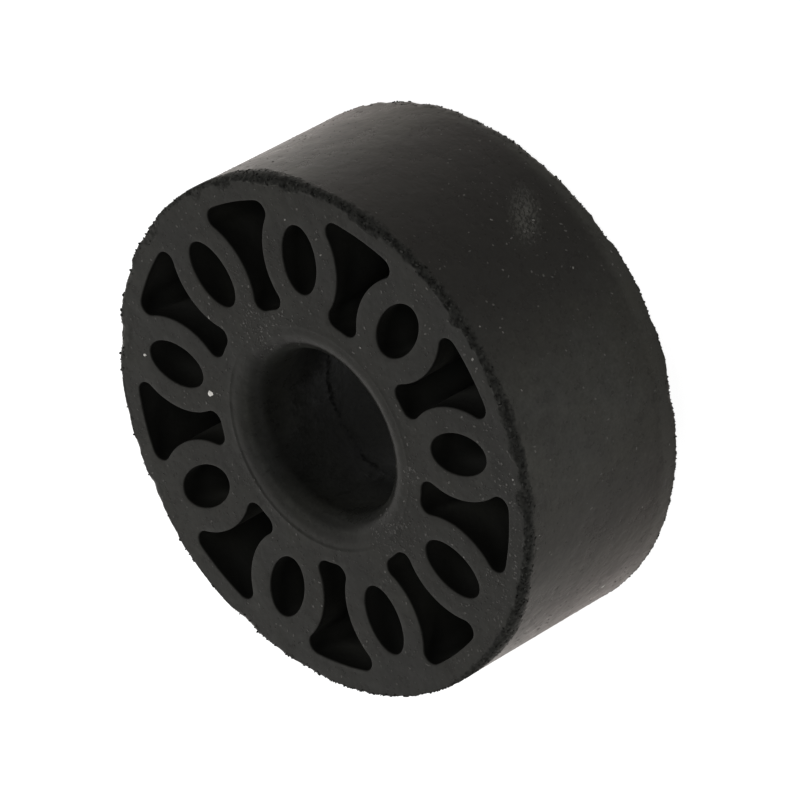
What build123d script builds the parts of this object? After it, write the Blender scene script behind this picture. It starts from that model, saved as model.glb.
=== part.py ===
"""Round rubber vibration mount, moulded in one piece.

Units are millimetres. The mount stands on one end face: +Z is its axis, Z = 0 is that face,
and +X runs through the middle of an oval cell. Both ends are alike.
"""

from build123d import *
import os

# The round body.
outer_diameter = 50.0
height = 20.0
rim_bevel = 0.6  # both outer edges, where the moulding flash was torn away

# The bore, and the rounded lips that lead into it.
bore_diameter = 16.0
lip_radius = 2.3
lip_margin = 0.5  # flat ring between a lip and the step around it
lip_step = 0.12  # how far that ring lies below the end face

# The ring of cells that makes the mount soft: ovals, and a bell between each two.
cell_pairs = 9
hub_wall = 4.4  # rubber between the bore and the bells
rim_wall = 2.35  # rubber between the bells and the outside
bell_corner_radius = 1.0
oval_width = 4.0
oval_inset = 1.8  # how much shorter than the bells the ovals are, at each end
cell_wall = 2.5  # rubber around each oval

outer_radius = outer_diameter / 2
bore_radius = bore_diameter / 2
step_radius = bore_radius + lip_radius + lip_margin
bell_inner_radius = bore_radius + hub_wall
bell_outer_radius = outer_radius - rim_wall
cell_circle_radius = (bell_inner_radius + bell_outer_radius) / 2
oval_length = bell_outer_radius - bell_inner_radius - 2 * oval_inset
on_base = (Align.CENTER, Align.CENTER, Align.MIN)
under_top = (Align.CENTER, Align.CENTER, Align.MAX)


def circles_of(radius, shape):
    """The circular edges of a shape that have this radius."""
    round_edges = shape.edges().filter_by(GeomType.CIRCLE)
    return round_edges.filter_by(lambda edge: abs(edge.radius - radius) < 1e-6)


def oval_ring(growth=0.0):
    """Every oval, grown by the same amount all round."""
    oval = Ellipse(oval_length / 2 + growth, oval_width / 2 + growth)
    return Sketch() + PolarLocations(cell_circle_radius, cell_pairs) * oval


def bell_ring():
    """What the ovals' walls leave of a flat ring: a bell with concave sides between each two."""
    ring = Circle(bell_outer_radius) - Circle(bell_inner_radius)
    bells = ring - oval_ring(growth=cell_wall)
    return fillet(bells.vertices(), bell_corner_radius)


def round_body():
    """The solid disc with its two rims bevelled."""
    disc = Cylinder(outer_radius, height, align=on_base)
    return chamfer(circles_of(outer_radius, disc), rim_bevel)


def bored(body):
    """The body with its bore, a shallow step round each mouth, and the rounded lips."""
    body -= Cylinder(bore_radius, height, align=on_base)
    body -= Cylinder(step_radius, lip_step, align=on_base)
    body -= Pos(Z=height) * Cylinder(step_radius, lip_step, align=under_top)
    return fillet(circles_of(bore_radius, body), lip_radius)


def cells():
    """The spaces of all the cells, right through from face to face."""
    return extrude(oval_ring() + bell_ring(), height)


rubber_mount = bored(round_body()) - cells()
rubber_mount.label = "rubber_mount"

os.makedirs("parts", exist_ok=True)
export_step(rubber_mount, "parts/rubber_mount.step")
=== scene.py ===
"""Looks of the round rubber vibration mount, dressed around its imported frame.

The rubber body is one closed mesh: its plan comes from the frame's own outlines, and its torn
rims, cell edges, moulding steps, lips and the witness line in the bore are shaped here. Lengths
are in millimetres until a mesh is made, and azimuths are in degrees about +Z from +X.
"""
import bmesh
import bpy
import random
import numpy as np
from math import atan2, cos, degrees, hypot, pi, radians, sin, sqrt
from mathutils import Matrix, Quaternion, Vector, kdtree, noise
from mathutils.geometry import delaunay_2d_cdt
from types import SimpleNamespace


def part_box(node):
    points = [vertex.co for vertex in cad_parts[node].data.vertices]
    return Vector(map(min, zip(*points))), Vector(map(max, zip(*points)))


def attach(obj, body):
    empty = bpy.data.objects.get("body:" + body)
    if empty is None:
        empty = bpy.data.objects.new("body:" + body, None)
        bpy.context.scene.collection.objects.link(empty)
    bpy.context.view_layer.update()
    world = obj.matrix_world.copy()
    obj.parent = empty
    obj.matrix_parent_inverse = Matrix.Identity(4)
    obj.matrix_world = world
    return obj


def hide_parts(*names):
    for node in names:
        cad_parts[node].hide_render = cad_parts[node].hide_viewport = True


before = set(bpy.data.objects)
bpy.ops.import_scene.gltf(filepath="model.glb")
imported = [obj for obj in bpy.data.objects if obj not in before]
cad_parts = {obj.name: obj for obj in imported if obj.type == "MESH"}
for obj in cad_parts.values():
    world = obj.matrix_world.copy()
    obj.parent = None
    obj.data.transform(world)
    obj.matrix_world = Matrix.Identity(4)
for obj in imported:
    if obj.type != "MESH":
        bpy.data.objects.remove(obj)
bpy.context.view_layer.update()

MM = 0.001
CORNERS = [np.array(corner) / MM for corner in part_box("rubber_mount")]
HEIGHT = CORNERS[1][2]
RADIUS = min(CORNERS[1][0], CORNERS[1][1])
SKIN = 0.04  # how far inside the box the clean surfaces lie, which leaves room for crumbs
WALL = RADIUS - SKIN  # radius of the clean side
SEED = 7

# A noise layer is height, width of the largest lumps, octaves. A lobe is azimuth, half width, height.

# The torn rims.
RIM_COLUMNS = 1080
RIM_START = 23.35  # radius on the face where the rims' finer mesh begins
RIM_DEPTH = 2.2  # how far down the side it goes
TORN_ROWS = 11  # across the torn band
# The rows before and after that band: share of the way, and how torn they look.
FACE_ROWS = ((0.0, 0.0), (0.5, 0.0), (0.8, 0.0), (0.94, 0.2))
SIDE_ROWS = ((0.06, 0.2), (0.16, 0.1), (0.3, 0.0), (0.6, 0.0), (1.0, 0.0))
# Each rim: how far its torn band reaches over the face and down the side, how strongly it is dented,
# how much of it is there by azimuth, its tears (azimuth, half width, added reach), and the
# lobes where it drops further down the side and where it bulges. The noise is read at noise_at.
UPPER_RIM = SimpleNamespace(
    upper=True, seed=3.0, noise_at=120.0, face_break=0.5, side_break=0.85, least_reach=0.12, relief=1.0,
    shares=(
        (-60, 1.0), (108, 1.0), (120, 0.75), (137, 0.75), (143, 1.15), (179, 1.15), (183, 0.9), (188, 1.1),
        (204, 1.0), (209, 0.2), (225, 0.4), (230, 0.9), (249, 0.9), (258, 0.3), (292, 0.3), (300, 1.0),
    ),
    tears=(
        (-9.0, 2.6, 0.75), (2.0, 2.4, 0.6), (9.0, 3.6, 0.3), (31.5, 1.7, 0.5), (57.5, 3.6, 0.4),
        (62.0, 2.6, 0.3), (81.0, 2.6, 0.55), (89.0, 4.0, 0.25), (100.5, 2.6, 0.6), (110.0, 1.8, 0.7),
        (130.0, 4.2, 0.8), (143.5, 2.6, 0.4), (157.0, 2.5, 0.2), (161.0, 5.0, 0.5), (162.0, 1.8, 0.35),
        (186.0, 1.7, 0.5), (196.5, 3.4, 0.75), (206.0, 1.4, 0.35), (231.5, 4.2, 0.45),
    ),
    drops=(
        (102.0, 13.0, 0.95), (87.0, 8.0, 0.35), (-34.0, 8.0, 0.35), (-46.0, 7.0, 1.0), (-60.0, 8.0, 0.6)),
    bulges=((112.0, 9.0, 0.6),),
)
# The lower rim is only chipped and rounded.
LOWER_RIM = SimpleNamespace(
    upper=False, seed=1.0, noise_at=40.0, face_break=0.8, side_break=0.9, least_reach=0.04, relief=0.4,
    shares=(
        (-50, 0.0), (-36, 0.0), (-30, 0.4), (-10, 0.4), (-4, 1.1), (4, 0.1), (27, 0.1), (40, 1.0),
        (60, 1.1), (80, 1.15), (97, 1.8), (112, 1.7), (150, 0.8), (200, 0.5), (260, 0.6), (310, 0.1),
    ),
    tears=(
        (13.2, 2.6, 0.4), (20.0, 1.5, 0.2), (33.4, 3.6, 0.6), (54.5, 2.4, 0.15), (85.0, 2.2, 0.2),
        (94.0, 2.5, 0.15),
    ), drops=(), bulges=(),
)
MOST_REACH = 1.45
LEAST_DROP, MOST_DROP = 0.12, 2.05
TEAR_DROP = 0.35  # a tear's drop down the side, as a share of its reach
TEAR_FLAT = 1.35  # a tear ends this many half widths from its middle
WORN_PART = (200.0, 62.0)  # azimuth and half width of the upper rim's old, rounded half
WORN_AWAY, WORN_CLEAN = 0.8, 0.9  # the shares of its bites and torn look gone there
REACH_WAVES, DROP_WAVES, BITES = (0.13, 2.6, 4), (0.16, 3.1, 4), (0.12, 0.6, 3)
WORN_WAVES = (0.16, 1.6, 2)  # where a rim is old
BULGE, BULGE_WAVES = 1.2, (0.35, 1.7, 2)
# The torn band's crumbs: their width, the level between them and the noise on them.
CRUMB_WIDTH, CRUMB_FOOT, CRUMB_GRAIN = 0.42, 0.35, (0.8, 0.22, 2)
DENT, DENT_WAVES = 0.12, (0.09, 1.1, 2)  # how far that relief stands out, and slower dents
TORN_EDGE = (0.75, 0.98)  # the paint at which faces get the torn rubber's material

# The ring of cells.
CELL_SPACING = 0.3  # between the points of a cell's outline
CELL_EDGE = 0.14  # radius of the edge round each mouth
CELL_EDGE_TURNS = (30.0, 60.0, 90.0)
CELL_RINGS = ((0.55, 0.15), (1.4, 0.4), (3.0, 1.0), (6.0, 1.0))  # depth, share of the deep cells' look

# The flat faces.
FACE_SPACING = 0.55  # between their points, in a grid of triangles
ROW_SPACING = 0.866  # between its rows, as a share of that
GRID_JITTER = 0.2
RIM_TO_GRID = ((2, 0.13), (4, 0.38))  # one of so many columns, this far in from the rim
HUB_CLEARANCE, RIM_CLEARANCE, OUTLINE_CLEARANCE = 0.3, 0.75, 0.32  # of the grid
SAG, SAG_WAVES = 0.012, (0.012, 4.0, 3)  # how far the faces sink in
EDGE_SAG = 0.4  # and the share of it at their outlines
NOISE_APART = 30.0  # the ends' noise is read so far over and under the middle

# The hub and the bore.
HUB_COLUMNS = 240
HUB_BORDER = 0.15  # between the hub's edge and the flat face's mesh
STEP_DROP = 0.1
# The step round the hub: radius from the hub's edge, and share of the drop.
STEP_CURVE = (
    (0.11, 0.0), (0.05, 0.12), (-0.02, 0.4), (-0.1, 0.72), (-0.17, 0.94), (-0.23, 1.0), (-0.32, 1.0))
LIP_RADIUS = 2.3
LIP_MARGIN = 0.5  # flat ring between a lip and the step around it
LIP_TURNS = (0, 4, 8, 12, 16, 20, 25, 30, 36, 42, 48, 54, 60, 67, 74, 82, 90)
# How full of dust the step is on the far and the near side and at most, and how deep this ends.
SILT_FAR, SILT_NEAR, SILT_MOST, SILT_END = 0.3, 0.9, 0.92, 1.2
SILT_LUMPS = (0.3, 1.6, 3)
NEAR_SIDE, DEEP_LIP_LIGHT_SIDE = (50.0, 0.6), (350.0, 0.9)  # the azimuth and spread of each
# The witness line in the bore, where the halves of the mould's core met.
WITNESS_GROOVE = 0.02
WITNESS_RISE = 0.1  # over the bore's middle
WITNESS_STEPS, WITNESS_WAVES = ((238.0, 18.0, 0.35),), (0.06, 2.5, 2)
WAVES_RADIUS = 8.0  # where those waves are read
WITNESS_SHOWN = ((170.0, 20.0, 0.75), (207.0, 26.0, 0.42), (240.0, 14.0, 0.5))
# The witness line is painted dark, as the shade in its groove: a share of the torn look, its relief, and a
# share of the film taken off.
WITNESS_TORN, WITNESS_RELIEF, WITNESS_SHADE = 0.85, -1.5, 0.8
# The bore's rings over the line, repeated under it: height, share of the line's look.
BORE_RINGS = ((5.5, 0.0), (3.8, 0.0), (1.9, 0.0), (0.8, 0.0), (0.42, 0.35), (0.2, 0.8), (0.0, 1.0))

# The side's rings, as shares of the way between the rims.
SIDE_RINGS = (0.14, 0.28, 0.43, 0.57, 0.72, 0.86)

# The dust film, which also carries painted light and shade: 0 is clean rubber, 1 the thickest film.
FACE_DUST = 0.315
FACE_PATCHES, PATCHES_SEED = (0.12, 7.0, 3), 8.0
# Painted light on the face's left part: its film is this much lighter there, toward the rim.
LEFT_LIGHT, LEFT_PART, LEFT_RADII = 0.12, (195.0, 60.0), (15.0, 24.0)  # so much more on the left
INNER_DUST = 0.3  # on the wall of the bore
# Painted light in the bore: its wall's film is lighter toward both mouths and darkest at its middle.
UPPER_BORE_LIGHT, UPPER_BORE = 0.24, (1.5, 4.0)  # so much more toward its mouths
# Painted light deep in the cells: a lighter film there, which lifts their black.
CELL_LIGHT = 0.62  # deep in the cells
SIDE_DUST = 0.315
# Painted light and shade on the side: lobes by azimuth that lighten its film where they add and darken it
# where they take away.
SIDE_LIGHT_AND_SHADE = (
    (-2.0, 16.0, 0.45), (16.0, 10.0, 0.1), (48.0, 14.0, -0.15), (87.0, 9.0, 0.85), (-34.0, 6.0, 0.2),
    (-51.0, 9.0, -0.45))
# Painted light along the lower rim: its film is lighter toward the lower edge.
LOWER_RIM_LIGHT, LOWER_RIM_EDGE = 0.9, (2.1, 0.9)  # so much more on the lower edge, and its heights
# Bands on the hub, by the depths where each starts, is full, fades and ends, and how strong they are:
# painted shade, mostly on the near side; painted light on the far side, and deeper toward azimuth 350.
LIP_SHADE_BAND, LIP_SHADE_FAR, LIP_SHADE_NEAR = (0.15, 0.4, 0.5, 0.8), 0.04, 0.3
LIP_LIGHT_BAND, LIP_LIGHT_FAR = (0.2, 0.4, 0.4, 0.75), 0.3
DEEP_LIP_LIGHT_BAND, DEEP_LIP_LIGHT = (0.75, 1.25, 1.8, 2.6), 0.22
HUB_FADE = (0.2, 1.4)  # depths between which the face's film becomes the bore's

# Crumbs of rubber on each rim.
RIM_CRUMBS = 1100
CRUMB_SIZES, CRUMB_HEIGHTS = (0.05, 0.14), (0.8, 1.6)
CRUMB_SHADES = (-0.8, -0.4, 0.0, 0.4, 0.8, 1.8)
CRUMB_TILT, CRUMB_LEAN = 15.0, 60.0  # degrees from upright, and added toward the side
WORN_CRUMBS = 0.8  # the share of them gone from the worn half
LOWER_CRUMBS = 700
LOWER_CRUMB_SIZES, LOWER_CRUMB_SHADES = (0.05, 0.12), (0.0, 2.6)
LOWER_CRUMB_OUT = (0.8, -0.6)  # they face outward and down
# Grit on each face and the side.
FACE_GRIT, LOWER_FACE_GRIT = 2500, 500
FACE_GRIT_END = 24.1
SIDE_GRIT = 2600
SIDE_GRIT_ENDS = (0.3, HEIGHT - 1.1)
SIDE_GRIT_SHARE, SIDE_GRIT_PATCH = 0.4, (35.0, 28.0, 0.6)  # the patch is on the lower half
SCUFF_GRIT, SCUFF_GRIT_STANDS = 14, 0.03
SCUFF_SIZES, SCUFF_TONES = (0.03, 0.06), (0.03, 0.3)
SCUFF_SPREAD, SCUFF_SLANT = 0.4, 0.8  # how far it lies off the scuff's middle, and leans
GRIT_STANDS = SKIN - 0.003  # how far the largest grit stands out, just inside the box
CELL_CLEARANCE = 0.1  # between the grit and a cell's edge
# Kinds of grain: the power that makes bright ones rare, half width, what the brightest add to it,
# how far it stands out, and the brightest tone.
LIP_GRAIN = (2, 0.08, 0.04, 0.03, 0.1)
FACE_GRAIN = (4, 0.09, 0.05, 0.02, 0.075)
SIDE_GRAIN = (4, 0.085, 0.05, 0.02, 0.09)
# How thickly grit lies on the faces, everywhere and in lobes between two radii.
THIN_DUSTING = 0.25
DUSTINGS = ((345.0, 22.0, 0.7, 20.0, 22.0), (105.0, 18.0, 0.5, 20.5, 17.5), (322.0, 24.0, 0.35, 0.0, 1.0))
# The largest grit on the upper face: azimuth, radius, half width, tone.
BIG_GRIT = (
    (165.3, 13.3, 0.35, 1.0), (162.1, 21.5, 0.2, 0.8), (134.0, 15.2, 0.17, 0.2), (254.1, 17.3, 0.12, 0.15),
    (48.5, 12.5, 0.13, 0.25), (71.5, 18.9, 0.12, 0.2), (83.3, 21.2, 0.11, 0.3), (355.6, 23.7, 0.13, 0.25),
    (22.8, 23.9, 0.16, 0.25), (328.1, 16.7, 0.1, 0.15), (327.0, 18.2, 0.09, 0.25), (109.5, 15.2, 0.1, 0.15),
)
# Clusters of finer grit on it and on its lip: azimuth, radius, spread, count.
CLUSTERS = (
    (113.0, 11.0, 1.6, 170), (306.0, 10.3, 1.3, 170), (345.0, 11.6, 1.0, 50), (97.0, 13.8, 1.0, 40),
    (80.6, 17.3, 0.5, 12), (86.9, 15.8, 0.4, 10), (60.9, 19.0, 0.5, 10),
)
LIP_GRIT_END = 0.8  # how near the bore it lies on the lip
# The largest grit on the side: azimuth, height, half width, tone.
BIG_SIDE_GRIT = (
    (46.1, 9.7, 0.12, 0.35), (29.3, 5.6, 0.12, 0.3), (27.9, 18.3, 0.1, 0.25), (28.5, 0.8, 0.1, 0.2),
    (-14.2, 1.1, 0.1, 0.15), (41.8, 6.0, 0.11, 0.3), (12.8, 17.3, 0.1, 0.2), (-48.9, 5.4, 0.16, 0.8),
    (-26.1, 4.3, 0.1, 0.15), (-17.9, 18.5, 0.1, 0.2), (24.7, 16.4, 0.1, 0.2), (46.0, 12.7, 0.08, 0.15),
)
# The pale scuff on the side: its ends as azimuth and height, half its width, where it fades out and is
# full as shares of its size, and the noise of its scratches.
SCUFF_ENDS, SCUFF_HALF_WIDTH, SCUFF_FADE = ((38.0, 8.6), (49.5, 4.0)), 1.5, (1.35, 0.2)
SCUFF_SCRATCHES, SCUFF_LEVELS = {"Scale": 6.5, "Detail": 3.0, "Roughness": 0.75}, (0.46, 0.66, 0.15, 6.0)

# Colours and gloss.
CLEAN_RUBBER = (0.006, 0.006, 0.0053)
DUSTY_RUBBER = ((0.0405, 0.0408, 0.0352), (0.0396, 0.0404, 0.037))
SCUFFED_RUBBER = (0.072, 0.071, 0.064)
# The torn rubber: black in its pits, a painted shade, and lighter on its crumbs.
TORN_PIT_SHADE, TORN_CRUMBS = (0.006, 0.006, 0.0055), (0.05, 0.05, 0.046)
DARK_GRIT, PALE_GRIT = (0.033, 0.0322, 0.03), (0.7, 0.68, 0.64)
RUBBER_GLOSS, TORN_GLOSS, GRIT_GLOSS = 0.125, 0.06, 0.3
RUBBER_ROUGHNESS, TORN_ROUGHNESS, GRIT_ROUGHNESS = (0.25, 0.345), (0.75, 0.95), (0.55, 0.8)
DULLER = 0.45  # added where it is torn and deep in the cells
# The rubber's patterns: the noise's width, detail and roughness, and how far the film swings with it.
GRAIN, MOTTLE, CLOUDS = (0.3, 2.0, 0.5, 0.2), (0.9, 2.0, 0.6, 0.17), (3.5, 3.0, 0.6, 0.22)
GRAIN_BUMP, MOTTLE_BUMP, CLOUDS_BUMP, TORN_BUMP = (0.015, 0.35), (0.02, 1.0), (0.12, 1.0), (0.05, 0.6)
SPREAD, NARROW_SPREAD = (0.3, 0.7), (0.35, 0.65)  # between which most of a noise pattern lies
TINT_WIDTH, SCUFF_PALE = 6.0, (0.8, 3.6)  # of the film's tints, and where the scuff is pale
# Noise on the torn bands' edges and relief, how far it moves them, and the values between which a
# surface goes from moulded to torn and from the painted shade of a pit to a crumb.
RAGGED, RAGGED_SWING, TORN_FROM_TO = (0.35, 2.0, 0.6), (-0.3, 0.3), (0.3, 0.7)
TORN_MOTTLE, TORN_SWING, PIT_TO_CRUMB = (0.45, 3.0, 0.6), (-0.7, 0.7), (-1.2, 2.2)
TORN_GRAIN = (0.2, 2.0, 0.6)
GRIT_MOTTLE, GRIT_SWING, GRIT_GRAIN = 0.08, (0.6, 1.3), 0.1

# The floor, and its own glow on top of the lamps' light.
FLOOR_CORNERS = ((-1.5, -1.5, 0), (1.5, -1.5, 0), (1.5, 1.5, 0), (-1.5, 1.5, 0))  # in metres
FLOOR_COLOUR = (0.8, 0.82, 0.79, 1.0)
FLOOR_TO_CAMERA = (0.3, 0.3, 0.3, 1.0)  # which keeps the part's shadow faint
CAMERA_GLOW = 0.92
MIRRORED_GLOW = 0.395
BORE_GLOW, CELL_GLOW = 1.0, 0.25  # shares of it under the bore and the cells
MIRRORED_TINT = (1.0, 0.8, 0.73)  # outside the part
CELL_GLOW_END, TINT_START = 0.93, 0.95  # shares of the part's radius

# The studio in reflections, a white panel behind the part and a dark gap in front of it: azimuth and
# elevation of the middle, the angles where it ends and is full, the shades outside and inside.
PANEL = (204.0, 38.0, 60.0, 22.0, 0.25, 1.0)
GAP = (24.0, 25.0, 54.0, 24.0, 1.0, 0.05)
PANEL_TINT = (1.0, 0.965, 0.935)
WHITE = (1.0, 1.0, 1.0)

# The lamps: name, azimuth, elevation, level. Their distance and size are in metres.
LAMPS = (
    ("rear", 240.0, 25.0, 0.5), ("rear_low", 210.0, 12.0, 0.35), ("left", 120.0, 60.0, 0.4),
    ("left_low", 150.0, 12.0, 0.15), ("right_low", 330.0, 12.0, 0.3), ("front", 24.0, 45.0, 0.15),
)
LAMP_DISTANCE, LAMP_SIZE = 0.6, 0.3
AMBIENT = 0.04  # the soft light on everything

# The camera: degrees about +Z and above the floor, and millimetres.
CAMERA_AZIMUTH, CAMERA_ELEVATION, CAMERA_ROLL = 23.813, 39.631, -118.823
CAMERA_AIM, CAMERA_DISTANCE = (0.779, -0.152, 10.0), 573.35
CAMERA_LENS, CAMERA_SENSOR = 287.22, 36.0


# --- Small tools ---

def ruggedness(points, layer, seed=0.0):
    """Fractal noise at each point, from about minus the layer's height to plus it."""
    height, width, octaves = layer
    shift = Vector((seed * 17.3, seed * -9.1, seed * 5.7))
    return height * np.array([
        noise.fractal(Vector(p) / width + shift, 1.0, 2.0, octaves, noise_basis="PERLIN_ORIGINAL")
        for p in points
    ])


def crumbs(points, width, seed=0.0):
    """Rounded grains about this wide: 1 at a grain's middle and about 0 between grains."""
    shift = Vector((seed * 3.1, seed * 7.7, seed * -4.9))
    return np.array([
        1.0 - 1.3 * noise.voronoi(Vector(p) / width + shift, distance_metric="DISTANCE")[0][0]
        for p in points
    ])


def evenly(count):
    """This many azimuths at even steps all round."""
    return np.arange(count) * 360.0 / count


def around(radius, azimuth, height):
    """Points at these cylindrical places; azimuth in degrees."""
    radius, azimuth, height = np.broadcast_arrays(radius, np.radians(azimuth), height)
    return np.column_stack([radius * np.cos(azimuth), radius * np.sin(azimuth), height])


def direction(azimuth, elevation):
    """The unit vector toward this azimuth and elevation in degrees."""
    azimuth, elevation = radians(azimuth), radians(elevation)
    flat = cos(elevation)
    return Vector((flat * cos(azimuth), flat * sin(azimuth), sin(elevation)))


def at_depth(depth, end):
    """The height at this depth under the upper face, or over the lower one where end is -1."""
    return HEIGHT - depth if end > 0 else depth


def smooth_step(x):
    """0 up to x = 0, 1 from x = 1, and a smooth curve between them."""
    x = np.clip(x, 0.0, 1.0)
    return x * x * (3.0 - 2.0 * x)


def ramp_between(x, start, full):
    """A smooth way from 0 at the start to 1 where it is full, above or below the start."""
    return smooth_step((x - start) / (full - start))


def band(x, start, full, fade, end):
    """1 between full and fade, and smoothly down to 0 at the start and the end."""
    return ramp_between(x, start, full) * (1.0 - ramp_between(x, fade, end))


def apart(azimuth, centre):
    """The degrees between these azimuths and the centre."""
    return np.abs((np.asarray(azimuth) - centre + 180.0) % 360.0 - 180.0)


def lobe(azimuth, centre, half_width):
    """1 at this azimuth, falling smoothly to 0 twice the half width away."""
    return smooth_step(1.0 - apart(azimuth, centre) / (2.0 * half_width))


def lobes(azimuth, listed):
    """The sum of the listed lobes at these azimuths."""
    return sum(height * lobe(azimuth, centre, half_width) for centre, half_width, height in listed)


def facing(azimuth, centre, spread):
    """1 on the side that faces this azimuth, falling smoothly to 0 on the far side."""
    return smooth_step(spread + np.cos(np.radians(azimuth - centre)))


RIM_TURNS, HUB_TURNS = evenly(RIM_COLUMNS), evenly(HUB_COLUMNS)


class Shell:
    """One mesh built up ring by ring, in millimetres, with values painted on its points."""

    def __init__(self):
        self.points, self.faces, self.count = [], [], 0
        # The dust paint on the body also carries painted light and shade.
        self.paint = {name: [] for name in ("torn", "relief", "dust", "deep")}

    def add(self, points, after=None, **paint):
        """Adds points, joined to the ring they come after, if any. A paint left out is 0."""
        points = np.asarray(points, float)
        numbers = np.arange(self.count, self.count + len(points))
        self.count += len(points)
        self.points.append(points)
        for name, values in self.paint.items():
            values.append(np.broadcast_to(np.asarray(paint.get(name, 0.0), float), len(points)))
        if after is not None:
            self.join(after, numbers)
        return numbers

    def join(self, ring, other):
        """Quads between two closed rings with the same count of points."""
        self.faces += [tuple(q) for q in np.column_stack(
            [ring, np.roll(ring, -1), np.roll(other, -1), other]).tolist()]

    def chip(self, place, out, size, height, rng, **paint):
        """A small faceted crumb at a place on a surface whose normal is out."""
        out = Vector(out)
        side = out.orthogonal().normalized()
        side.rotate(Quaternion(out, rng.uniform(0.0, 6.28)))
        front = out.cross(side)
        corners = rng.choice((5, 6, 7))
        long = rng.uniform(1.0, 1.5)
        rings = [None]
        for rise, reach in ((-0.5, 0.8), (0.35, 1.0), (1.0, 0.5)):
            points = []
            for k in range(corners):
                turn = 2.0 * pi * (k + rng.uniform(-0.25, 0.25)) / corners
                far = size * reach * rng.uniform(0.7, 1.15)
                across = cos(turn) * long * side + sin(turn) / long * front
                points.append(Vector(place) + far * across + out * height * rise)
            rings.append(self.add(within_box(points), rings[-1], **paint))
        self.faces += [tuple(rings[1].tolist()), tuple(rings[-1].tolist())]

    def to_object(self, name, smooth=True):
        """The finished piece, in the scene, with its paints as attributes."""
        mesh = bpy.data.meshes.new(name)
        mesh.from_pydata((np.concatenate(self.points) * MM).tolist(), [], self.faces)
        for attribute, values in self.paint.items():
            layer = mesh.attributes.new(attribute, "FLOAT", "POINT")
            layer.data.foreach_set("value", np.concatenate(values).astype(np.float32))
        form = bmesh.new()
        form.from_mesh(mesh)
        bmesh.ops.recalc_face_normals(form, faces=form.faces)
        form.to_mesh(mesh)
        form.free()
        mesh.polygons.foreach_set("use_smooth", [smooth] * len(mesh.polygons))
        mesh.update()
        return in_scene(name, mesh)


def in_scene(name, data):
    """A new object in the scene with this data."""
    thing = bpy.data.objects.new(name, data)
    bpy.context.scene.collection.objects.link(thing)
    return thing


def within_box(points):
    """These points, pulled back into the part's own cylinder."""
    points = np.array(points, float)
    radius = np.hypot(points[:, 0], points[:, 1])
    points[:, :2] *= np.minimum(1.0, RADIUS / np.maximum(radius, 1e-6))[:, None]
    points[:, 2] = np.clip(points[:, 2], 0.0, HEIGHT)
    return points


# --- The plan, from the frame ---

def outlines_at(node, height):
    """The closed outlines of the flat face that a node has at this height."""
    mesh = node.data
    place = [tuple(round(c / MM, 4) for c in v.co) for v in mesh.vertices]
    edges = set()
    for face in mesh.polygons:
        corners = [place[v] for v in face.vertices]
        if all(abs(c[2] - height) < 1e-3 for c in corners):
            edges.update(zip(corners, corners[1:] + corners[:1]))
    follow = {a: b for a, b in edges if (b, a) not in edges}
    loops = []
    while follow:
        here, loop = min(follow), []
        while here in follow:
            loop.append(here[:2])
            here = follow.pop(here)
        loops.append(np.array(loop))
    return loops


def resampled(loop, spacing):
    """A closed outline as evenly spaced points on the smooth curve through its corners."""
    gap = np.linalg.norm(np.roll(loop, -1, 0) - loop, axis=1)
    step = (np.roll(loop, -1, 0) - loop) / gap[:, None]
    before = np.roll(gap, 1)
    slope = (np.roll(step, 1, 0) * gap[:, None] + step * before[:, None]) / (gap + before)[:, None]
    start = np.concatenate([[0.0], np.cumsum(gap)])
    count = max(12, round(start[-1] / spacing))
    along = np.arange(count) * start[-1] / count
    k = np.searchsorted(start, along, side="right") - 1
    t = ((along - start[k]) / gap[k])[:, None]
    after = (k + 1) % len(loop)
    return (
        (2 * t**3 - 3 * t**2 + 1) * loop[k] + (t**3 - 2 * t**2 + t) * gap[k, None] * slope[k]
        + (3 * t**2 - 2 * t**3) * loop[after] + (t**3 - t**2) * gap[k, None] * slope[after]
    )


def outward(loop):
    """The unit normals of a cell's outline, pointing away from the cell into the rubber."""
    along = np.roll(loop, -1, 0) - np.roll(loop, 1, 0)
    normal = np.column_stack([along[:, 1], -along[:, 0]])
    normal /= np.linalg.norm(normal, axis=1)[:, None]
    away = np.sum(normal * (loop - loop.mean(0)), axis=1).mean()
    return normal * np.sign(away)


def inside(points, loop):
    """Which points lie inside a closed outline."""
    x, y = points[:, 0, None], points[:, 1, None]
    a, b = loop, np.roll(loop, -1, 0)
    spans = (a[:, 1] > y) != (b[:, 1] > y)
    rise = np.where(b[:, 1] == a[:, 1], 1.0, b[:, 1] - a[:, 1])
    crossing = a[:, 0] + (y - a[:, 1]) * (b[:, 0] - a[:, 0]) / rise
    return np.sum(spans & (x < crossing), axis=1) % 2 == 1


LOOPS = outlines_at(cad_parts["rubber_mount"], HEIGHT)
# The hub's and the rim's outlines lie round the axis, and the cells' beside it.
CELLS = [resampled(loop, CELL_SPACING) for loop in LOOPS if np.hypot(*loop.mean(0)) > 1.0]
HUB_EDGE = min(np.hypot(*loop.T).min() for loop in LOOPS)
BORE_RADIUS = HUB_EDGE - LIP_MARGIN - LIP_RADIUS
# Radius and depth along each half of the hub: the moulding step and the lip.
HUB_PROFILE = [(HUB_EDGE + off, SKIN + STEP_DROP * share) for off, share in STEP_CURVE]
HUB_PROFILE += [
    (BORE_RADIUS + LIP_RADIUS * (1.0 - sin(turn)), SKIN + STEP_DROP + LIP_RADIUS * (1.0 - cos(turn)))
    for turn in np.radians(LIP_TURNS)]
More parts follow.
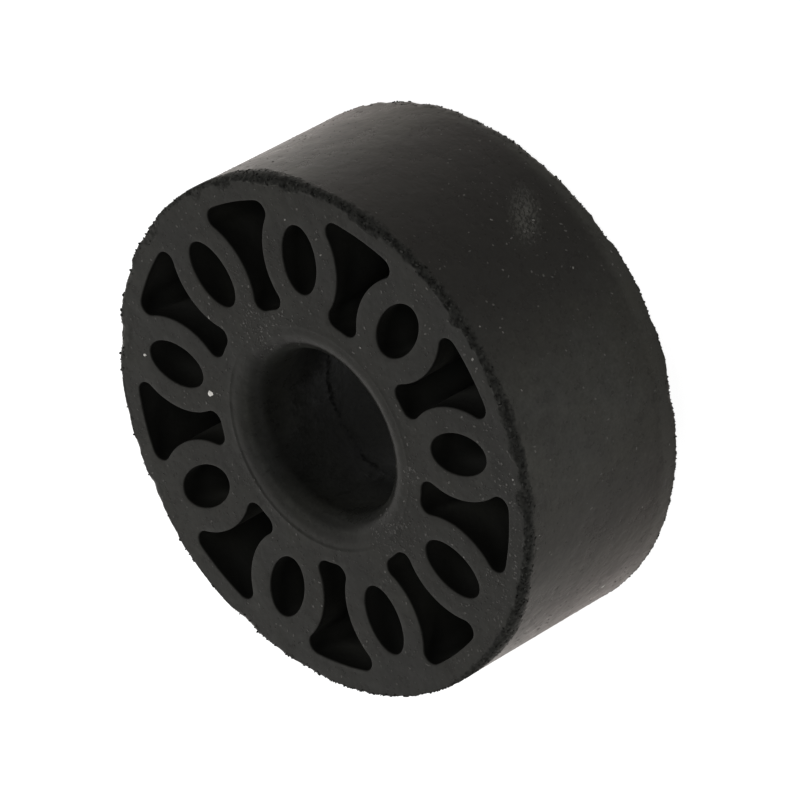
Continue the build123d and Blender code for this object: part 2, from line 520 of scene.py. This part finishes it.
# Along each end of a cell: distance into the rubber, depth, film, which is painted light deep inside, and
# deep look.
CELL_PROFILE = [
    (CELL_EDGE * (1.0 - sin(radians(turn))), SKIN + CELL_EDGE * (1.0 - cos(radians(turn))),
     FACE_DUST * (1.0 - turn / 90.0), 0.0) for turn in CELL_EDGE_TURNS]
CELL_PROFILE += [(0.0, depth, CELL_LIGHT * share, share) for depth, share in CELL_RINGS]


# --- The torn rims ---

def worn(azimuth):
    """How far the upper rim is rounded and dusted over here, from 0 to 1."""
    return lobe(azimuth, *WORN_PART)


def rim_rows(rim):
    """The rows of a rim from the face to the side, as (radius, depth, torn, relief) by column."""
    edge = around(RADIUS, RIM_TURNS, rim.noise_at)
    present = np.interp(RIM_TURNS, *zip(*rim.shares), period=360.0)
    old = worn(RIM_TURNS) if rim.upper else np.zeros(RIM_COLUMNS)
    fine = 1.0 - WORN_AWAY * old
    reach = present * (rim.face_break + ruggedness(edge, REACH_WAVES, rim.seed))
    reach += fine * ruggedness(edge, BITES, rim.seed)
    reach += (old if rim.upper else 1.0) * ruggedness(edge, WORN_WAVES, rim.seed + 6)
    drop = present * (rim.side_break + ruggedness(edge, DROP_WAVES, rim.seed + 1))
    drop += fine * ruggedness(edge, BITES, rim.seed + 2) + lobes(RIM_TURNS, rim.drops)
    for centre, half_width, extra in rim.tears:
        deeper = smooth_step(TEAR_FLAT - apart(RIM_TURNS, centre) / half_width)
        reach += extra * deeper
        drop += TEAR_DROP * extra * deeper
    reach, drop = np.clip(reach, rim.least_reach, MOST_REACH), np.clip(drop, LEAST_DROP, MOST_DROP)
    fresh = (1.0 - WORN_CLEAN * old) * rim.upper
    rows = []
    for along, torn in FACE_ROWS:
        rows.append((RIM_START + (WALL - reach - RIM_START) * along, SKIN, torn * fresh, 0.0))
    bulge = BULGE + ruggedness(edge, BULGE_WAVES, rim.seed + 3) + lobes(RIM_TURNS, rim.bulges)
    for k in range(TORN_ROWS + 1):
        u = k / TORN_ROWS
        # A curve from where the face breaks to where the side breaks, bulging to the lost corner.
        pull = 2.0 * u * (1.0 - u)
        inward = reach * ((1.0 - u)**2 + pull * (1.0 - bulge) * 0.5)
        depth = drop * (u**2 + pull * (1.0 - bulge) * 0.5)
        spots = around(WALL - inward, RIM_TURNS, rim.noise_at - depth)
        relief = crumbs(spots, CRUMB_WIDTH, rim.seed) - CRUMB_FOOT
        relief += ruggedness(spots, CRUMB_GRAIN, rim.seed + 4)
        dent = DENT * relief + ruggedness(spots, DENT_WAVES, rim.seed + 5)
        # The dents are shallower toward both ends of the curve.
        dent = dent * fine * sqrt(sin(pi * (0.06 + 0.88 * u))) * rim.relief
        across = np.hypot(reach, drop)
        radius = np.minimum(WALL - inward + dent * drop / across, RADIUS)
        depth = np.maximum(depth + SKIN - dent * reach / across, 0.0)
        # It looks torn from the face on, and less and less so toward the side.
        torn = min(1.0, 0.55 + 4.0 * u) * (1.0 - smooth_step((u - 0.6) / 0.75))
        rows.append((radius, depth, torn * fresh, relief + WORN_CLEAN * old))
    for along, torn in SIDE_ROWS:
        rows.append((WALL, SKIN + drop + (RIM_DEPTH - drop) * along, torn * fresh, 0.0))
    return rows


# --- The body ---

def face_film_and_light(points):
    """How much of the dust film lies on the flat face at these places, with painted light on its left part.
    """
    azimuth = np.degrees(np.arctan2(points[:, 1], points[:, 0]))
    patches = ruggedness([(x, y, 0.0) for x, y in points], FACE_PATCHES, PATCHES_SEED)
    left = lobe(azimuth, *LEFT_PART) * ramp_between(np.hypot(*points.T), *LEFT_RADII)
    return FACE_DUST * (1.0 + patches) + LEFT_LIGHT * left


def side_dust_and_light(azimuth):
    """How much of the dust film lies on the side at these azimuths, with painted light and shade added in
    lobes by azimuth.
    """
    return SIDE_DUST + lobes(azimuth, SIDE_LIGHT_AND_SHADE)


def plan_of_face():
    """The flat face between hub and rim: its points and triangles, with each outline's numbers."""
    rng = random.Random(SEED)
    rim = around(RIM_START, RIM_TURNS, 0.0)[:, :2]
    hub = around(HUB_EDGE + HUB_BORDER, HUB_TURNS, 0.0)[:, :2]
    mouths = [cell + outward(cell) * CELL_EDGE for cell in CELLS]
    outlines = [rim, hub, *mouths]
    fixed = np.concatenate(outlines)
    near = kdtree.KDTree(len(fixed))
    for k, point in enumerate(fixed):
        near.insert((*point, 0.0), k)
    near.balance()
    loose = [around(RIM_START - inset, evenly(RIM_COLUMNS // columns), 0.0)[:, :2]
             for columns, inset in RIM_TO_GRID]
    rows = int(RIM_START / (FACE_SPACING * ROW_SPACING)) + 1
    grid = []
    for row in range(-rows, rows + 1):
        for column in range(-rows, rows + 1):
            x = (column + 0.5 * (row % 2) + rng.uniform(-GRID_JITTER, GRID_JITTER)) * FACE_SPACING
            y = (row + rng.uniform(-GRID_JITTER, GRID_JITTER)) * FACE_SPACING * ROW_SPACING
            if HUB_EDGE + HUB_CLEARANCE < hypot(x, y) < RIM_START - RIM_CLEARANCE:
                if near.find((x, y, 0.0))[2] > OUTLINE_CLEARANCE:
                    grid.append((x, y))
    points = np.concatenate([fixed, *loose, np.array(grid)])
    numbers, limits, first = [], [], 0
    for outline in outlines:
        ring = np.arange(first, first + len(outline))
        numbers.append(ring)
        limits += np.column_stack([ring, np.roll(ring, -1)]).tolist()
        first += len(outline)
    made, _, triangles, origin, _, _ = delaunay_2d_cdt(
        [Vector(p) for p in points], limits, [], 0, 1e-7)
    if len(made) != len(points):
        raise ValueError("the plan has gained or lost points")
    back = [o[0] for o in origin]
    triangles = np.array([[back[v] for v in t] for t in triangles])
    middle = points[triangles].mean(1)
    distance = np.hypot(*middle.T)
    keep = (distance < RIM_START) & (distance > HUB_EDGE + HUB_BORDER)
    for mouth in mouths:
        keep &= ~inside(middle, mouth)
    return points, triangles[keep], numbers


def silt(azimuth, depth, end):
    """How much the dust in the step round the hub raises the surface at this depth."""
    share = SILT_FAR + (SILT_NEAR - SILT_FAR) * facing(azimuth, *NEAR_SIDE)
    share = share + ruggedness(around(HUB_EDGE, azimuth, end * NOISE_APART), SILT_LUMPS)
    depth = depth - SKIN
    full = min(depth, STEP_DROP) * (1.0 - smooth_step((depth - STEP_DROP) / SILT_END))
    return full * np.clip(share, 0.0, SILT_MOST)


def add_rim(shell, ring, rows, end):
    """A rim, from its ring in the face down the side. Gives its last ring."""
    for k, (radius, depth, torn, relief) in enumerate(rows[1:], 1):
        places = around(radius, RIM_TURNS, at_depth(depth, end))
        if k < len(FACE_ROWS):
            film = face_film_and_light(places[:, :2])
        elif end > 0:
            film = side_dust_and_light(RIM_TURNS)
        else:
            film = side_dust_and_light(RIM_TURNS) + LOWER_RIM_LIGHT * ramp_between(depth, *LOWER_RIM_EDGE)
        ring = shell.add(places, ring, torn=torn, relief=relief, dust=film)
    return ring


def add_hub(shell, ring, end):
    """The step and the lip, from the hub's ring in the face. Gives its last ring, in the bore."""
    near, deep_lit_side = facing(HUB_TURNS, *NEAR_SIDE), facing(HUB_TURNS, *DEEP_LIP_LIGHT_SIDE)
    for radius, depth in HUB_PROFILE:
        places = around(radius, HUB_TURNS, at_depth(depth - silt(HUB_TURNS, depth, end), end))
        # Painted shade and painted light in bands on the lip, by side and depth.
        lip_shade = band(depth, *LIP_SHADE_BAND) * (LIP_SHADE_FAR + (LIP_SHADE_NEAR - LIP_SHADE_FAR) * near)
        lip_light = band(depth, *LIP_LIGHT_BAND) * LIP_LIGHT_FAR * (1.0 - near)
        lip_light += band(depth, *DEEP_LIP_LIGHT_BAND) * DEEP_LIP_LIGHT * deep_lit_side
        cover = 1.0 - ramp_between(depth, *HUB_FADE)
        film = INNER_DUST + (face_film_and_light(places[:, :2]) - INNER_DUST) * cover - lip_shade + lip_light
        ring = shell.add(places, ring, dust=film)
    return ring


def add_mouth(shell, ring, cell, end):
    """A cell's mouth and the start of its wall, from its ring in the face. Gives its last ring."""
    away = outward(cell)
    for shift, depth, film, deep in CELL_PROFILE:
        places = np.column_stack([cell + away * shift, np.full(len(cell), at_depth(depth, end))])
        ring = shell.add(places, ring, dust=film, deep=deep)
    return ring


def add_bore(shell, ring, last):
    """The bore's wall between the two hubs' last rings, with the witness line on it, painted dark as the
    shade in its groove.
    """
    line = HEIGHT / 2 + WITNESS_RISE + lobes(HUB_TURNS, WITNESS_STEPS)
    line += ruggedness(around(WAVES_RADIUS, HUB_TURNS, 0.0), WITNESS_WAVES)
    shown = lobes(HUB_TURNS, WITNESS_SHOWN)
    for off, share in (*BORE_RINGS, *((-off, share) for off, share in BORE_RINGS[-2::-1])):
        # Painted shade along the witness line, where it shows.
        dark = np.minimum(share * shown, 1.0)
        # Painted light: the film is lighter toward the bore's mouths.
        film = INNER_DUST + UPPER_BORE_LIGHT * ramp_between(abs(off), *UPPER_BORE)
        places = around(BORE_RADIUS + WITNESS_GROOVE * dark, HUB_TURNS, line + off)
        ring = shell.add(places, ring, torn=WITNESS_TORN * dark, relief=WITNESS_RELIEF,
                         dust=film * (1.0 - WITNESS_SHADE * dark))
    shell.join(ring, last)


def rubber_body(upper_rows, lower_rows):
    """The moulded body as one closed mesh, from the rows of its rims."""
    shell = Shell()
    points, triangles, outlines = plan_of_face()
    ends = []
    for end, rows in ((1, upper_rows), (-1, lower_rows)):
        sag = SAG + ruggedness([(x, y, end * NOISE_APART) for x, y in points], SAG_WAVES)
        sag[np.concatenate(outlines)] *= EDGE_SAG
        height = at_depth(SKIN + np.maximum(sag, 0.0), end)
        face = shell.add(np.column_stack([points, height]), dust=face_film_and_light(points))
        shell.faces += [tuple(t) for t in face[triangles].tolist()]
        rim, hub, *mouths = [face[outline] for outline in outlines]
        ends.append((add_rim(shell, rim, rows, end), add_hub(shell, hub, end),
                     [add_mouth(shell, mouth, cell, end) for mouth, cell in zip(mouths, CELLS)]))
    (ring, top_bore, top_cells), (low_rim, low_bore, low_cells) = ends
    for share in SIDE_RINGS:
        depth = RIM_DEPTH + (HEIGHT - 2 * RIM_DEPTH) * share
        ring = shell.add(around(WALL, RIM_TURNS, HEIGHT - depth), ring, dust=side_dust_and_light(RIM_TURNS))
    shell.join(ring, low_rim)
    add_bore(shell, top_bore, low_bore)
    for top, low in zip(top_cells, low_cells):
        shell.join(top, low)
    return shell.to_object("rubber_body")


def mark_torn(piece):
    """Gives the torn faces the second material, with a ragged edge."""
    rng = random.Random(SEED + 3)
    torn = piece.data.attributes["torn"].data
    for face in piece.data.polygons:
        face.material_index = int(min(torn[v].value for v in face.vertices) > rng.uniform(*TORN_EDGE))


# --- Crumbs and dust ---

def rim_crumbs(upper_rows, lower_rows):
    """Rubber crumbs that cling to the torn upper rim, and pale ones on the lower."""
    rng = random.Random(SEED + 1)
    shell = Shell()
    first = len(FACE_ROWS)
    for _ in range(RIM_CRUMBS):
        column = rng.randrange(RIM_COLUMNS)
        if rng.random() < WORN_CRUMBS * worn(RIM_TURNS[column]):
            continue
        u = rng.random()
        radius, depth, _, _ = upper_rows[first + round(u * TORN_ROWS)]
        tilt = radians(CRUMB_TILT + CRUMB_LEAN * u)
        place = around(radius[column], RIM_TURNS[column], HEIGHT - depth[column])[0]
        out = around(sin(tilt), RIM_TURNS[column], cos(tilt))[0]
        size, shade = rng.uniform(*CRUMB_SIZES), rng.choice(CRUMB_SHADES)
        shell.chip(place, out, size, size * rng.uniform(*CRUMB_HEIGHTS), rng, torn=1.0, relief=shade)
    for _ in range(LOWER_CRUMBS):
        column = rng.randrange(RIM_COLUMNS)
        radius, depth, _, _ = lower_rows[rng.randrange(first + 2, first + 1 + TORN_ROWS)]
        place = around(radius[column], RIM_TURNS[column], depth[column])[0]
        out = around(LOWER_CRUMB_OUT[0], RIM_TURNS[column], LOWER_CRUMB_OUT[1])[0]
        size = rng.uniform(*LOWER_CRUMB_SIZES)
        shell.chip(place, out, size, size, rng, torn=1.0, relief=rng.uniform(*LOWER_CRUMB_SHADES))
    return shell.to_object("rim_crumbs", smooth=False)


def dusting(azimuth, radius):
    """How thickly grit lies on the face here, from 0 to 1."""
    return THIN_DUSTING + sum(
        amount * lobe(azimuth, centre, half_width) * ramp_between(radius, start, full)
        for centre, half_width, amount, start, full in DUSTINGS)


def seat_on_lip(x, y):
    """The place on the upper lip at x and y, and the way out of the rubber."""
    radius, azimuth = hypot(x, y), degrees(atan2(y, x))
    slope = min(max((BORE_RADIUS + LIP_RADIUS - radius) / LIP_RADIUS, 0.0), 1.0)
    lean = sqrt(1.0 - slope ** 2)
    depth = SKIN + STEP_DROP + LIP_RADIUS * (1.0 - lean)
    depth -= silt(azimuth, depth, 1)[0]
    return around(radius, azimuth, HEIGHT - depth)[0], around(-slope, azimuth, lean)[0]


def seat_on_side(azimuth, height):
    """The place on the side, and the way out of the rubber."""
    return around(WALL, azimuth, height)[0], around(1.0, azimuth, 0.0)[0]


def add_grain(shell, place, out, kind, rng):
    """One grain of grit of this kind."""
    rarity, size, growth, height, tone = kind
    bright = rng.random() ** rarity
    shell.chip(place, out, size + growth * bright, height, rng, dust=tone * bright)


def add_face_grit(shell, end, count, rng):
    """The finer grit on a face: clusters on the upper one and its lip, and grit all over."""
    spots, on_lip = [], []
    for azimuth, radius, spread, many in CLUSTERS if end > 0 else ():
        middle = around(radius, azimuth, HEIGHT - SKIN)[0]
        for _ in range(many):
            place = middle + (rng.gauss(0.0, spread), rng.gauss(0.0, spread), 0.0)
            off_axis = hypot(place[0], place[1])
            if off_axis > HUB_EDGE:
                spots.append(place)
            elif off_axis > BORE_RADIUS + LIP_GRIT_END:
                on_lip.append(seat_on_lip(place[0], place[1]))
    count += len(spots)
    for place, out in on_lip:
        add_grain(shell, place, out, LIP_GRAIN, rng)
    while len(spots) < count:
        azimuth = rng.uniform(0.0, 360.0)
        radius = sqrt(rng.uniform(HUB_EDGE ** 2, FACE_GRIT_END ** 2))
        if rng.random() < dusting(azimuth, radius):
            spots.append(around(radius, azimuth, at_depth(SKIN, end))[0])
    spots = np.array(spots)
    clear = [cell + outward(cell) * (CELL_EDGE + CELL_CLEARANCE) for cell in CELLS]
    on_face = ~np.any([inside(spots[:, :2], edge) for edge in clear], axis=0)
    for place in spots[on_face]:
        add_grain(shell, place, (0.0, 0.0, end), FACE_GRAIN, rng)


def dust():
    """Pale grit on the faces and the side."""
    rng = random.Random(SEED + 2)
    shell = Shell()
    for azimuth, radius, size, tone in BIG_GRIT:
        place = around(radius, azimuth, HEIGHT - SKIN)[0]
        shell.chip(place, (0.0, 0.0, 1.0), size, GRIT_STANDS, rng, dust=tone)
    add_face_grit(shell, 1, FACE_GRIT, rng)
    add_face_grit(shell, -1, LOWER_FACE_GRIT, rng)
    for azimuth, height, size, tone in BIG_SIDE_GRIT:
        shell.chip(*seat_on_side(azimuth, height), size, GRIT_STANDS, rng, dust=tone)
    for _ in range(SIDE_GRIT):
        azimuth, height = rng.uniform(0.0, 360.0), rng.uniform(*SIDE_GRIT_ENDS)
        patch = lobes(azimuth, [SIDE_GRIT_PATCH]) * (height < HEIGHT / 2)
        if rng.random() < SIDE_GRIT_SHARE + patch:
            add_grain(shell, *seat_on_side(azimuth, height), SIDE_GRAIN, rng)
    (start, top), (end, low) = SCUFF_ENDS
    for _ in range(SCUFF_GRIT):
        along, aside = rng.uniform(0.0, 1.0), rng.gauss(0.0, SCUFF_SPREAD * SCUFF_HALF_WIDTH)
        azimuth = start + (end - start) * along + degrees(aside / RADIUS)
        height = top + (low - top) * along + SCUFF_SLANT * aside
        size, tone = rng.uniform(*SCUFF_SIZES), rng.uniform(*SCUFF_TONES)
        shell.chip(*seat_on_side(azimuth, height), size, SCUFF_GRIT_STANDS, rng, dust=tone)
    return shell.to_object("dust", smooth=False)


# --- Materials ---

class Nodes:
    """Shorthand for the nodes of a material or a world."""

    def __init__(self, holder):
        holder.use_nodes = True
        self.holder, self.tree = holder, holder.node_tree
        self.tree.nodes.clear()

    def add(self, kind, inputs=(), **settings):
        """A new shader node with these settings, its inputs linked to sockets or plain values."""
        node = self.tree.nodes.new("ShaderNode" + kind)
        for key, value in settings.items():
            setattr(node, key, value)
        for socket, value in dict(inputs).items():
            if isinstance(value, bpy.types.NodeSocket):
                self.tree.links.new(value, node.inputs[socket])
            else:
                node.inputs[socket].default_value = value
        return node

    def places(self, kind="Object"):
        """The surface's coordinates of this kind."""
        return self.add("TexCoord").outputs[kind]

    def paint(self, name):
        """The values that a mesh's points are painted with."""
        return self.add("Attribute", attribute_name=name).outputs["Fac"]

    def noise(self, where, size, detail=2.0, roughness=0.55):
        """Noise from 0 to 1 whose lumps are about this wide in millimetres."""
        return self.add("TexNoise", {
            "Vector": where, "Scale": 1.0 / (size * MM), "Detail": detail, "Roughness": roughness,
        }).outputs["Fac"]

    def fit(self, value, low, high, to_low=0.0, to_high=1.0):
        """A value between low and high, carried over to two others and clamped."""
        return self.add("MapRange", {
            "Value": value, "From Min": low, "From Max": high, "To Min": to_low, "To Max": to_high,
        }, clamp=True).outputs["Result"]

    def math(self, operation, a, b=0.0):
        """The result of one operation on two numbers."""
        return self.add("Math", {0: a, 1: b}, operation=operation).outputs[0]

    def measure(self, operation, *vectors):
        """The number that an operation on vectors gives."""
        return self.add("VectorMath", enumerate(vectors), operation=operation).outputs["Value"]

    def mix(self, share, a, b):
        """Colour a, or b where the share is 1. A plain colour is three numbers."""
        a, b = (c if isinstance(c, bpy.types.NodeSocket) else (*c, 1.0) for c in (a, b))
        return self.add("Mix", {"Factor": share, 6: a, 7: b}, data_type="RGBA").outputs[2]

    def bump(self, pattern, depth, strength, normal=None):
        """The normal, bent by a pattern that is worth this many millimetres of relief."""
        inputs = {"Strength": strength, "Distance": depth * MM, "Height": pattern}
        if normal is not None:
            inputs["Normal"] = normal
        return self.add("Bump", inputs).outputs["Normal"]

    def surface(self, colour, roughness, gloss, **more):
        """The material's shader and its output. The gloss is one plain value."""
        shader = self.add("BsdfPrincipled", {
            "Base Color": colour, "Roughness": roughness, "Specular IOR Level": gloss, **more})
        self.add("OutputMaterial", {"Surface": shader.outputs[0]})


def torn_look(n, where):
    """The torn rubber's colour: black in its pits, a painted shade, and dusty and lighter on its crumbs."""
    level = n.math("ADD", n.paint("relief"), n.fit(n.noise(where, *TORN_MOTTLE), *SPREAD, *TORN_SWING))
    return n.mix(n.fit(level, *PIT_TO_CRUMB), TORN_PIT_SHADE, TORN_CRUMBS)


def scuffed(n, where):
    """1 in the middle of the pale scuff on the side, broken up into short light scratches."""
    ends = [Vector(around(RADIUS, *end)[0]) for end in SCUFF_ENDS]
    middle = (ends[0] + ends[1]) / 2
    along = (ends[1] - ends[0]).normalized()
    out = Vector((middle.x, middle.y, 0.0))
    out = (out - out.dot(along) * along).normalized()
    turn = Matrix((along, out.cross(along), out)).transposed().to_euler()
    length = (ends[1] - ends[0]).length / 2
    local = n.add("Mapping", {
        "Vector": where, "Location": middle * MM, "Rotation": turn,
        "Scale": (length * MM, SCUFF_HALF_WIDTH * MM, length * MM),
    }, vector_type="TEXTURE").outputs["Vector"]
    core = n.fit(n.measure("LENGTH", local), *SCUFF_FADE)
    scratches = n.add("TexNoise", {"Vector": local, **SCUFF_SCRATCHES}).outputs["Fac"]
    return n.math("MULTIPLY", n.math("MULTIPLY", core, core), n.fit(scratches, *SCUFF_LEVELS))


def rubber_material():
    """Black rubber, greyer under its dust film, which also carries painted light and shade, and ragged
    toward the torn bands.
    """
    n = Nodes(bpy.data.materials.new("moulded_rubber"))
    where = n.places()
    even = film = n.paint("dust")
    patterns = []
    for *shape, swing in (GRAIN, MOTTLE, CLOUDS):
        patterns.append(n.noise(where, *shape))
        film = n.math("MULTIPLY", film, n.fit(patterns[-1], *SPREAD, 1.0 - swing, 1.0 + swing))
    grain, mottle, clouds = patterns
    # Deep in the cells the film is even.
    deep = n.paint("deep")
    film = n.add("Mix", {0: deep, 2: film, 3: even}, data_type="FLOAT").outputs[0]
    scuff = scuffed(n, where)
    dusty = n.mix(n.fit(n.noise(where, TINT_WIDTH), *NARROW_SPREAD), *DUSTY_RUBBER)
    colour = n.mix(n.math("ADD", film, scuff), CLEAN_RUBBER, dusty)
    colour = n.mix(n.fit(scuff, *SCUFF_PALE), colour, SCUFFED_RUBBER)
    torn = n.math("ADD", n.paint("torn"), n.fit(n.noise(where, *RAGGED), *SPREAD, *RAGGED_SWING))
    torn = n.fit(torn, *TORN_FROM_TO)
    colour = n.mix(torn, colour, torn_look(n, where))
    uneven = n.math("ADD", n.math("MULTIPLY", mottle, 0.5), n.math("MULTIPLY", clouds, 0.5))
    rough = n.fit(uneven, *NARROW_SPREAD, *RUBBER_ROUGHNESS)
    rough = n.math("ADD", rough, n.math("MULTIPLY", n.math("MAXIMUM", torn, deep), DULLER))
    normal = n.bump(clouds, *CLOUDS_BUMP)
    normal = n.bump(mottle, *MOTTLE_BUMP, normal)
    normal = n.bump(grain, *GRAIN_BUMP, normal)
    n.surface(colour, rough, RUBBER_GLOSS, Normal=normal)
    return n.holder


def torn_material():
    """The same rubber where it is torn open, which is dull."""
    n = Nodes(bpy.data.materials.new("torn_rubber"))
    where = n.places()
    grain = n.noise(where, *TORN_GRAIN)
    n.surface(torn_look(n, where), n.fit(grain, *SPREAD, *TORN_ROUGHNESS), TORN_GLOSS,
              Normal=n.bump(grain, *TORN_BUMP))
    return n.holder


def dust_material():
    """Pale grit: its tone comes from each crumb's own paint."""
    n = Nodes(bpy.data.materials.new("dust"))
    where = n.places()
    tone = n.fit(n.noise(where, GRIT_MOTTLE), *SPREAD, *GRIT_SWING)
    colour = n.mix(n.math("MULTIPLY", n.paint("dust"), tone), DARK_GRIT, PALE_GRIT)
    n.surface(colour, n.fit(n.noise(where, GRIT_GRAIN), *SPREAD, *GRIT_ROUGHNESS), GRIT_GLOSS)
    return n.holder


# --- The studio ---

def floor():
    """A pale floor: white to the camera but for a faint shadow, and shaded by the lamps in mirrors.

    Its mirrored glow is weaker under the cells, whose walls stay dark that way.
    """
    mesh = bpy.data.meshes.new("floor")
    mesh.from_pydata(FLOOR_CORNERS, [], [(0, 1, 2, 3)])
    n = Nodes(bpy.data.materials.new("pale_floor"))
    path = n.add("LightPath").outputs
    to_camera = path["Is Camera Ray"]
    mirrored = n.math("MAXIMUM", path["Is Glossy Ray"], path["Is Transmission Ray"])
    away = n.measure("LENGTH", n.places())
    own_share = n.add("ValToRGB", {"Fac": n.fit(away, 0.0, RADIUS * MM)})
    ramp = own_share.color_ramp
    ramp.elements[0].color = (BORE_GLOW, BORE_GLOW, BORE_GLOW, 1.0)
    for place, share in ((BORE_RADIUS / RADIUS, BORE_GLOW), (HUB_EDGE / RADIUS, CELL_GLOW),
                         (CELL_GLOW_END, CELL_GLOW)):
        ramp.elements.new(place).color = (share, share, share, 1.0)
    glow = n.math("MULTIPLY", mirrored, n.math("MULTIPLY", own_share.outputs["Color"], MIRRORED_GLOW))
    glow = n.math("ADD", glow, n.math("MULTIPLY", to_camera, CAMERA_GLOW))
    pale = n.add("BsdfDiffuse", {"Color": FLOOR_COLOUR}).outputs[0]
    faint = n.add("BsdfDiffuse", {"Color": FLOOR_TO_CAMERA}).outputs[0]
    lit = n.add("MixShader", {0: to_camera, 1: pale, 2: faint}).outputs[0]
    under = n.fit(away, TINT_START * RADIUS * MM, RADIUS * MM, 1.0, 0.0)
    tint = n.mix(n.math("MAXIMUM", to_camera, under), MIRRORED_TINT, WHITE)
    own = n.add("Emission", {"Color": tint, "Strength": glow}).outputs[0]
    both = n.add("AddShader", {0: lit, 1: own}).outputs[0]
    n.add("OutputMaterial", {"Surface": both})
    mesh.materials.append(n.holder)
    piece = in_scene("floor", mesh)


def surroundings():
    """A white studio for the camera and reflections, and a softer light on everything."""
    n = Nodes(bpy.data.worlds.new("studio"))
    bpy.context.scene.world = n.holder
    path = n.add("LightPath").outputs
    to_camera = path["Is Camera Ray"]
    seen = n.math("MAXIMUM", to_camera, path["Is Glossy Ray"])
    seen = n.math("MAXIMUM", seen, path["Is Transmission Ray"])
    where = n.places("Generated")
    shades = []
    for azimuth, elevation, wide, narrow, outside, within in (PANEL, GAP):
        nearness = n.measure("DOT_PRODUCT", where, direction(azimuth, elevation))
        wide, narrow = cos(radians(wide)), cos(radians(narrow))
        shades.append(n.fit(nearness, wide, narrow, outside, within))
    strength = n.math("MAXIMUM", to_camera, n.math("MULTIPLY", *shades))
    tint = n.mix(to_camera, PANEL_TINT, WHITE)
    soft = n.add("Background", {"Color": (*WHITE, 1.0), "Strength": AMBIENT}).outputs[0]
    white = n.add("Background", {"Color": tint, "Strength": strength}).outputs[0]
    mixed = n.add("MixShader", {0: seen, 1: soft, 2: white}).outputs[0]
    n.add("OutputWorld", {"Surface": mixed})


def softbox(name, azimuth, elevation, level):
    """A round lamp, left out of reflections. At level 1 it alone shows a facing colour as written."""
    toward = direction(azimuth, elevation)
    data = bpy.data.lights.new(name, "AREA")
    data.shape, data.size, data.energy = "DISK", LAMP_SIZE, level * (pi * LAMP_DISTANCE) ** 2
    lamp = in_scene(name, data)
    lamp.location = Vector((0.0, 0.0, HEIGHT / 2 * MM)) + LAMP_DISTANCE * toward
    lamp.rotation_euler = (-toward).to_track_quat("-Z", "Y").to_euler()
    lamp.visible_glossy = False


def camera():
    """The photograph's view: a long lens, looking down, with the picture rolled."""
    data = bpy.data.cameras.new("camera")
    data.lens, data.sensor_width = CAMERA_LENS, CAMERA_SENSOR
    away = direction(CAMERA_AZIMUTH, CAMERA_ELEVATION)
    turn = (-away).to_track_quat("-Z", "Y").to_matrix()
    turn = turn @ Matrix.Rotation(radians(CAMERA_ROLL), 3, "Z")
    place = (Vector(CAMERA_AIM) + CAMERA_DISTANCE * away) * MM
    bpy.context.scene.camera = in_scene("camera", data)
    bpy.context.scene.camera.matrix_world = Matrix.Translation(place) @ turn.to_4x4()


rims = rim_rows(UPPER_RIM), rim_rows(LOWER_RIM)
rubber, torn_rubber = rubber_material(), torn_material()

body = rubber_body(*rims)
body.data.materials.append(rubber)
body.data.materials.append(torn_rubber)
mark_torn(body)
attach(body, "root")
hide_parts("rubber_mount")

crumbly = rim_crumbs(*rims)
crumbly.data.materials.append(torn_rubber)
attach(crumbly, "root")

grit = dust()
grit.data.materials.append(dust_material())
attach(grit, "root")

floor()
surroundings()
for lamp in LAMPS:
    softbox(*lamp)
camera()
bpy.context.scene.view_settings.view_transform = "Standard"
